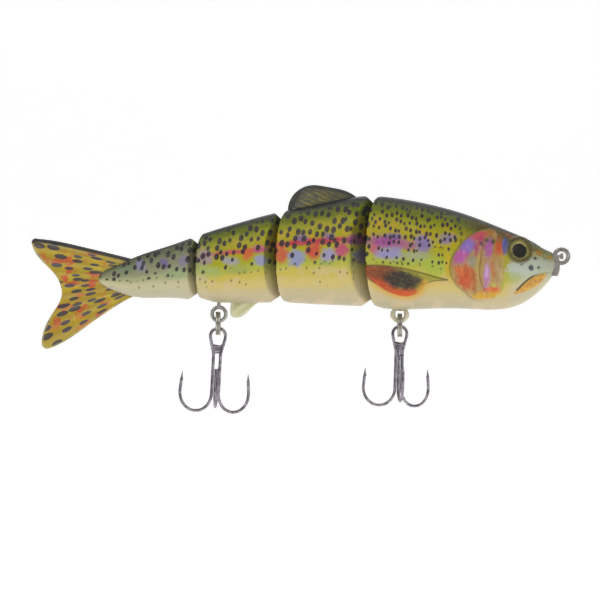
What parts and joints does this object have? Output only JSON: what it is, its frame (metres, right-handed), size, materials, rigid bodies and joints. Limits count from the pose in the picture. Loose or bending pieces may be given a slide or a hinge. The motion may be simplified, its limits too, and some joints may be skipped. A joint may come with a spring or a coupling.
{
  "type": "jointed swimbait",
  "caption": "Hard fishing lure shaped as a trout: hinged body segments, printed eyes, plate fins, split rings and treble hooks on the belly.",
  "frame": {"origin": "centre of the line-tie ring on the nose", "axes": "+X out of the nose along the fish, +Y to the fish's left, +Z to its back"},
  "size_m": [0.202, 0.0272, 0.0859],
  "materials": {
    "painted_shell": "clear-coated trout paint",
    "eye_foil": "printed foil",
    "clear_resin": "clear",
    "dorsal_fin": "painted",
    "anal_fin": "cloudy",
    "tail_fin": "painted",
    "stainless": "bright wire",
    "painted_wire": "overpainted wire",
    "nickel": "nickel plate",
    "black_nickel": "black nickel plate",
    "nose_plate": "dull grey",
    "ballast": "plain"
  },
  "bodies": {
    "head_segment": {"head_shell_right": "painted_shell", "head_shell_left": "painted_shell", "eye_disc_right": "eye_foil", "eye_disc_left": "eye_foil", "eye_lens_right": "clear_resin", "eye_lens_left": "clear_resin", "line_tie": "stainless", "nose_plate": "nose_plate", "front_hook_hanger": "painted_wire", "head_ballast": "ballast", "head_hinge_eyelet_upper": "stainless", "head_hinge_eyelet_lower": "stainless"},
    "mid_segment": {"mid_shell_right": "painted_shell", "mid_shell_left": "painted_shell", "dorsal_fin": "dorsal_fin", "mid_ballast": "ballast", "mid_hinge_pin": "stainless", "mid_hinge_eyelet_upper": "stainless", "mid_hinge_eyelet_lower": "stainless"},
    "rear_segment": {"rear_shell_right": "painted_shell", "rear_shell_left": "painted_shell", "rear_ballast": "ballast", "rear_hinge_pin": "stainless", "rear_hook_hanger": "stainless", "anal_fin": "anal_fin", "rear_hinge_eyelet_upper": "stainless", "rear_hinge_eyelet_lower": "stainless"},
    "tail_segment": {"tail_shell_right": "painted_shell", "tail_shell_left": "painted_shell", "tail_hinge_pin": "stainless", "tail_fin": "tail_fin", "tail_fin_pin_upper": "stainless", "tail_fin_pin_lower": "stainless"},
    "line_ring": {"nose_ring": "nickel"},
    "front_link": {"front_ring": "nickel"},
    "front_hook": {"front_treble_double": "black_nickel", "front_treble_single": "black_nickel"},
    "rear_link": {"rear_ring": "nickel"},
    "rear_hook": {"rear_treble_double": "black_nickel", "rear_treble_single": "black_nickel"}
  },
  "joints": [
    {"name": "mid_hinge", "type": "hinge", "parent": "head_segment", "child": "mid_segment", "pos_m": [-0.0716, 0, 0], "axis": [0, 0, 1], "range_deg": [-20, 20]},
    {"name": "rear_hinge", "type": "hinge", "parent": "mid_segment", "child": "rear_segment", "pos_m": [-0.1059, 0, 0], "axis": [0, 0, 1], "range_deg": [-20, 20]},
    {"name": "tail_hinge", "type": "hinge", "parent": "rear_segment", "child": "tail_segment", "pos_m": [-0.137, 0, 0], "axis": [0, 0, 1], "range_deg": [-20, 20]},
    {"name": "nose_ring_turn", "type": "hinge", "parent": "head_segment", "child": "line_ring", "pos_m": [0, 0, 0], "axis": [0, 1, 0], "continuous": true},
    {"name": "front_ring_swing", "type": "hinge", "parent": "head_segment", "child": "front_link", "pos_m": [-0.0606, 0, -0.02435], "axis": [1, 0, 0], "range_deg": [-50, 50]},
    {"name": "front_hook_swing", "type": "hinge", "parent": "front_link", "child": "front_hook", "pos_m": [-0.0606, 0, -0.0298], "axis": [0, 1, 0], "range_deg": [-40, 40]},
    {"name": "rear_ring_swing", "type": "hinge", "parent": "rear_segment", "child": "rear_link", "pos_m": [-0.1284, 0, -0.0243], "axis": [1, 0, 0], "range_deg": [-50, 50]},
    {"name": "rear_hook_swing", "type": "hinge", "parent": "rear_link", "child": "rear_hook", "pos_m": [-0.1287, 0, -0.0291], "axis": [0, 1, 0], "range_deg": [-40, 40]}
  ]
}
